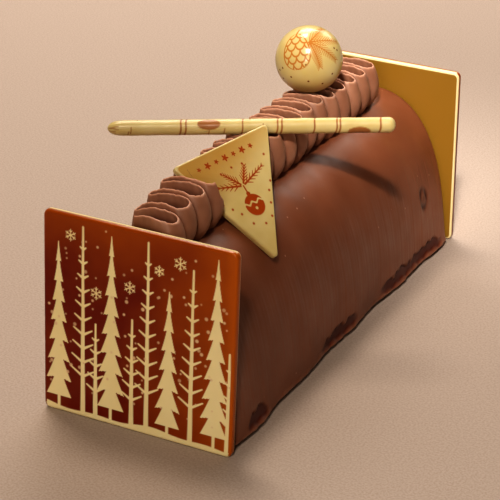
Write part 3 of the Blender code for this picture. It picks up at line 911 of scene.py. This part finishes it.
def ball_chocolate():
    material, tree, shader, colour = white_chocolate("white_chocolate_ball_print", "#b8742a", 0.9)
    # Painted reflection of the brown cream on the ball's underside.
    cream_reflection_share = add(tree, "ShaderNodeMath", {0: value_of(tree, "under"), 1: 0.38}, operation="MULTIPLY")
    warm = mixed(tree, cream_reflection_share.outputs[0], colour, linear("#c07a24"))
    dotted = mixed(tree, value_of(tree, "dots"), warm, linear("#7a4416"))
    tree.links.new(dotted, shader.inputs["Base Color"])
    shader.inputs["Roughness"].default_value = 0.22
    shader.inputs["Subsurface Weight"].default_value = 0.5
    shader.inputs["Subsurface Scale"].default_value = 4.0 * MM
    return material


def stick_chocolate():
    return white_chocolate("white_chocolate_stick_print", "#96500f", 0.85)[0]


def triangle_chocolate():
    material, tree, shader, colour = white_chocolate("white_chocolate_triangle_print", "#a84c12")
    # Painted shade towards the upper left edge.
    painted_shade_colour = mixed(tree, value_of(tree, "depth"), colour, linear("#b98a36"))
    tree.links.new(painted_shade_colour, shader.inputs["Base Color"])
    return material


def tile_chocolate():
    """White chocolate under a brown cocoa-butter transfer, which is deep red-brown and thins to orange at its edges."""
    material, tree, shader = new_material("printed_white_chocolate_tile")
    across, rise = value_of(tree, "across"), value_of(tree, "rise")
    warm = add(tree, "ShaderNodeMapRange", {0: across, 1: -0.1, 2: 0.5, 3: 0.0, 4: 0.75})
    top = add(tree, "ShaderNodeMapRange", {0: rise, 1: 0.72, 2: 1.0, 3: 0.0, 4: 0.55})
    edge = add(tree, "ShaderNodeMapRange", {0: across, 1: 0.44, 2: 0.5, 3: 0.0, 4: 0.4})
    thin = add(tree, "ShaderNodeMath", {0: warm.outputs[0], 1: top.outputs[0]}, operation="MAXIMUM")
    thin = add(tree, "ShaderNodeMath", {0: thin.outputs[0], 1: edge.outputs[0]}, operation="ADD")
    cloud = add(tree, "ShaderNodeMapRange", {0: noise(tree, 18).outputs["Fac"], 1: 0.3, 2: 0.7, 3: -0.12, 4: 0.12})
    thin = add(tree, "ShaderNodeMath", {0: thin.outputs[0], 1: cloud.outputs[0]}, operation="ADD", use_clamp=True)
    brown = mixed(tree, thin.outputs[0], linear("#761f02"), linear("#b86008"))
    cream = mixed(tree, noise(tree, 20).outputs["Fac"], linear("#efdda4"), linear("#f8eabc"))
    # Painted shade: the inner face is coloured a darker ochre than the cream.
    cream = mixed(tree, value_of(tree, "shaded_inner"), cream, linear("#9e7830"))
    printed = mixed(tree, value_of(tree, "ink"), cream, brown)
    flaked = mixed(tree, value_of(tree, "snow"), printed, linear("#e6c9a0"))
    tree.links.new(flaked, shader.inputs["Base Color"])
    shader.inputs["Roughness"].default_value = 0.28
    shader.inputs["Specular IOR Level"].default_value = 0.3
    shader.inputs["Subsurface Weight"].default_value = 0.06
    shader.inputs["Subsurface Radius"].default_value = (1.0, 0.6, 0.3)
    shader.inputs["Subsurface Scale"].default_value = 1.0 * MM
    wave = noise(tree, 12, 1)
    bump = add(tree, "ShaderNodeBump", {"Strength": 0.12, "Distance": 0.2 * MM, "Height": wave.outputs["Fac"]})
    tree.links.new(bump.outputs[0], shader.inputs["Normal"])
    return material


def paper_floor():
    """A matt beige sheet with a very fine fibre speckle."""
    material, tree, shader = new_material("beige_paper")
    speckle = add(tree, "ShaderNodeMapRange", {0: noise(tree, 0.9, 2).outputs["Fac"], 1: 0.35, 2: 0.65})
    colour = mixed(tree, speckle.outputs[0], linear("#ac9b8e"), linear("#b9aa9e"))
    tree.links.new(colour, shader.inputs["Base Color"])
    shader.inputs["Roughness"].default_value = 0.75
    return material


# ---------------------------------------------------------------- floor, light and camera

def make_floor():
    shape = bmesh.new()
    bmesh.ops.create_grid(shape, x_segments=1, y_segments=1, size=3.0)
    floor = finish_piece("floor", shape, paper_floor())


def soft_light(name, azimuth, elevation, distance, aim, size, power, colour):
    """A square soft box that looks at a place from this bearing. Azimuth counts from +X towards +Y."""
    lamp = bpy.data.lights.new(name, "AREA")
    lamp.shape = "SQUARE"
    lamp.size = size
    place_light(name, lamp, azimuth, elevation, distance, aim, power, colour)


def spot_light(name, azimuth, elevation, distance, aim, cone, radius, power, colour):
    """A soft-edged spot from this bearing that fades out away from where it aims."""
    lamp = bpy.data.lights.new(name, "SPOT")
    lamp.spot_size = math.radians(cone)
    lamp.spot_blend = 1.0
    lamp.shadow_soft_size = radius
    place_light(name, lamp, azimuth, elevation, distance, aim, power, colour)


def place_light(name, lamp, azimuth, elevation, distance, aim, power, colour):
    lamp.energy = power
    lamp.color = linear(colour)[:3]
    light = bpy.data.objects.new(name, lamp)
    bpy.context.scene.collection.objects.link(light)
    azimuth, elevation = math.radians(azimuth), math.radians(elevation)
    bearing = Vector((math.cos(azimuth) * math.cos(elevation), math.sin(azimuth) * math.cos(elevation),
                      math.sin(elevation)))
    light.location = Vector(aim) + bearing * distance
    light.rotation_euler = (-bearing).to_track_quat("-Z", "Y").to_euler()


def make_world():
    world = bpy.data.worlds.new("studio")
    world.use_nodes = True
    background = world.node_tree.nodes["Background"]
    background.inputs["Color"].default_value = linear("#e8d8c8")
    background.inputs["Strength"].default_value = 0.05
    bpy.context.scene.world = world


def make_lights():
    make_world()
    middle = (0, 0, 0.05)
    soft_light("overhead_box", 146, 68, 1.6, middle, 0.4, 9.5, "#fff2e4")
    soft_light("rear_box", 84, 30, 1.5, middle, 0.6, 2.8, "#fff4ea")
    soft_light("camera_box", 288, 47, 2.0, middle, 0.15, 10, "#fff2e2")
    soft_light("front_box", 285, 18, 2.0, middle, 0.5, 6, "#fff2e2")
    soft_light("backdrop_box", 80, 88, 0.9, (-0.45, 0.75, 0), 0.6, 7.0, "#fff6f0")
    spot_light("back_end_spot", 288, 47, 2.0, (0.02, 0.1, 0.069), 4.8, 0.08, 230, "#fffaf6")


def make_camera():
    lens = bpy.data.cameras.new("camera")
    lens.lens = CAMERA_LENS
    lens.sensor_width = 36
    lens.clip_start = 0.01
    camera = bpy.data.objects.new("camera", lens)
    bpy.context.scene.collection.objects.link(camera)
    turn = Matrix.Rotation(CAMERA_AZIMUTH, 4, "Z") @ Matrix.Rotation(math.pi / 2 - CAMERA_TILT, 4, "X")
    camera.matrix_world = Matrix.Translation(CAMERA_PLACE) @ turn @ Matrix.Rotation(CAMERA_ROLL, 4, "Z")
    bpy.context.scene.camera = camera


def main():
    bpy.context.scene.view_settings.view_transform = "Standard"
    bpy.context.scene.view_settings.look = "High Contrast"
    make_log()
    make_ruffle()
    tile = tile_chocolate()
    make_tile("front_tile", "front_plaque", FRONT_LEAN, -1, tile)
    make_tile("back_tile", "back_plaque", BACK_LEAN, 1, tile)
    make_ball()
    make_stick()
    make_triangle()
    make_floor()
    make_lights()
    make_camera()


main()
